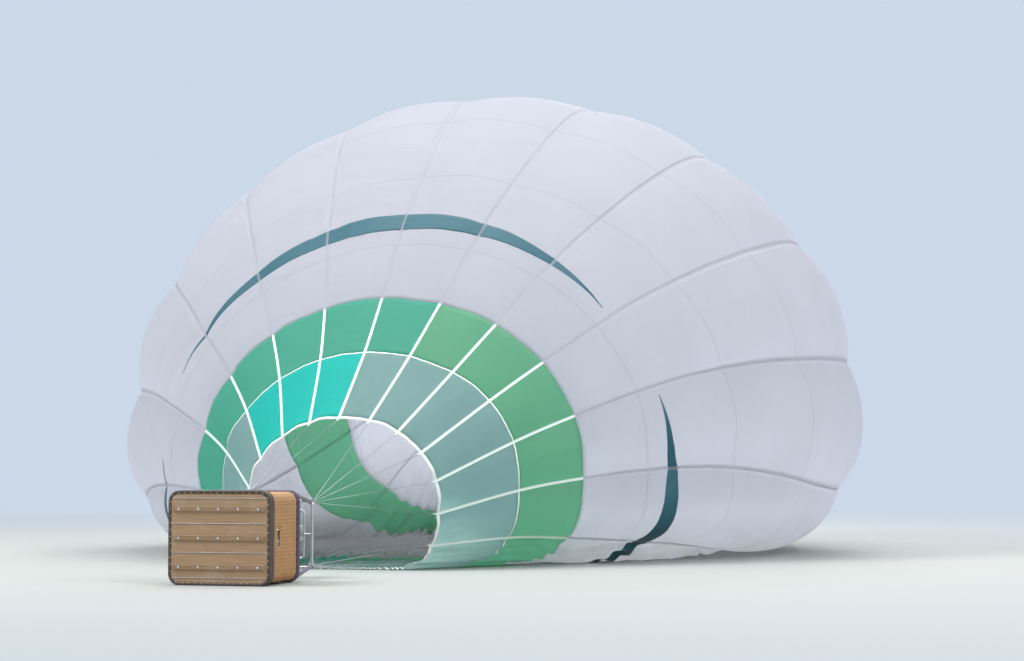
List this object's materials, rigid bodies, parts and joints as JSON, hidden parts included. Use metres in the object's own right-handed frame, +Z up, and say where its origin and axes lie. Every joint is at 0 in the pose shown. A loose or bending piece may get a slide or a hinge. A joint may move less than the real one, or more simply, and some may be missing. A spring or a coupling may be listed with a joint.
{
  "type": "hot air balloon lying on its side while being inflated",
  "caption": "White gored balloon envelope with a green ring at its mouth, held open by cold air on the ground, rigged to a burner frame and a wicker basket that lie on their sides.",
  "frame": {"origin": "centre of the mouth of the envelope, where the lying balloon is held open by the air blown into it", "axes": "+Y along the envelope from its mouth to its crown, with the basket at -Y, +Z up from the ground, +X to the right as seen from the basket"},
  "size_m": [13.6136, 20.065, 8.3889],
  "materials": {
    "white_fabric": "satin",
    "green_fabric": "satin",
    "grey_green_fabric": "satin",
    "turquoise_fabric": "satin",
    "teal_fabric": "satin",
    "tape_fabric": "matte",
    "parachute_fabric": "satin",
    "steel": "satin",
    "coil_steel": "satin",
    "wire": "satin",
    "aluminium": "satin",
    "wicker": "satin",
    "board": "matte",
    "hide": "matte",
    "cover": "matte"
  },
  "bodies": {
    "root": {"white_gore_01": "white_fabric", "white_gore_02": "white_fabric", "white_gore_03": "white_fabric", "white_gore_04": "white_fabric", "white_gore_05": "white_fabric", "white_gore_06": "white_fabric", "white_gore_07": "white_fabric", "white_gore_08": "white_fabric", "white_gore_09": "white_fabric", "white_gore_10": "white_fabric", "white_gore_11": "white_fabric", "white_gore_12": "white_fabric", "white_gore_13": "white_fabric", "white_gore_14": "white_fabric", "white_gore_15": "white_fabric", "white_gore_16": "white_fabric", "white_gore_17": "white_fabric", "white_gore_18": "white_fabric", "white_gore_19": "white_fabric", "white_gore_20": "white_fabric", "green_ring": "green_fabric", "inner_ring": "grey_green_fabric", "turquoise_panels": "turquoise_fabric", "crown_green_ring": "green_fabric", "crown_white_ring": "white_fabric", "mouth_hem": "tape_fabric", "load_tapes": "tape_fabric", "crown_ring": "aluminium", "flying_wires_right_top": "wire", "flying_wires_right_bottom": "wire", "flying_wires_left_bottom": "wire", "flying_wires_left_top": "wire", "load_frame": "steel", "basket_floor": "board", "basket_walls": "wicker", "basket_base_band": "hide", "basket_rim": "cover", "upright_right_top": "cover", "upright_right_bottom": "cover", "upright_left_bottom": "cover", "upright_left_top": "cover", "fuel_cylinder_right_top": "aluminium", "fuel_cylinder_right_bottom": "aluminium", "fuel_cylinder_left_bottom": "aluminium", "fuel_cylinder_left_top": "aluminium"},
    "parachute": {"parachute_valve": "parachute_fabric"},
    "gimbal": {"gimbal_ring": "steel"},
    "burners": {"burner_block": "steel", "burner_can_left": "steel", "burner_can_right": "steel", "burner_coil_left": "coil_steel", "burner_coil_right": "coil_steel"}
  },
  "joints": [
    {"name": "parachute_pull", "type": "slide", "parent": "root", "child": "parachute", "axis": [0, -1, 0], "range_m": [0, 1.2]},
    {"name": "gimbal_tilt", "type": "hinge", "parent": "root", "child": "gimbal", "pos_m": [0, -2.72, -0.478], "axis": [1, 0, 0], "range_deg": [-15, 15]},
    {"name": "burner_tilt", "type": "hinge", "parent": "gimbal", "child": "burners", "pos_m": [0, -2.72, -0.478], "axis": [0, 0, 1], "range_deg": [-15, 15]}
  ]
}
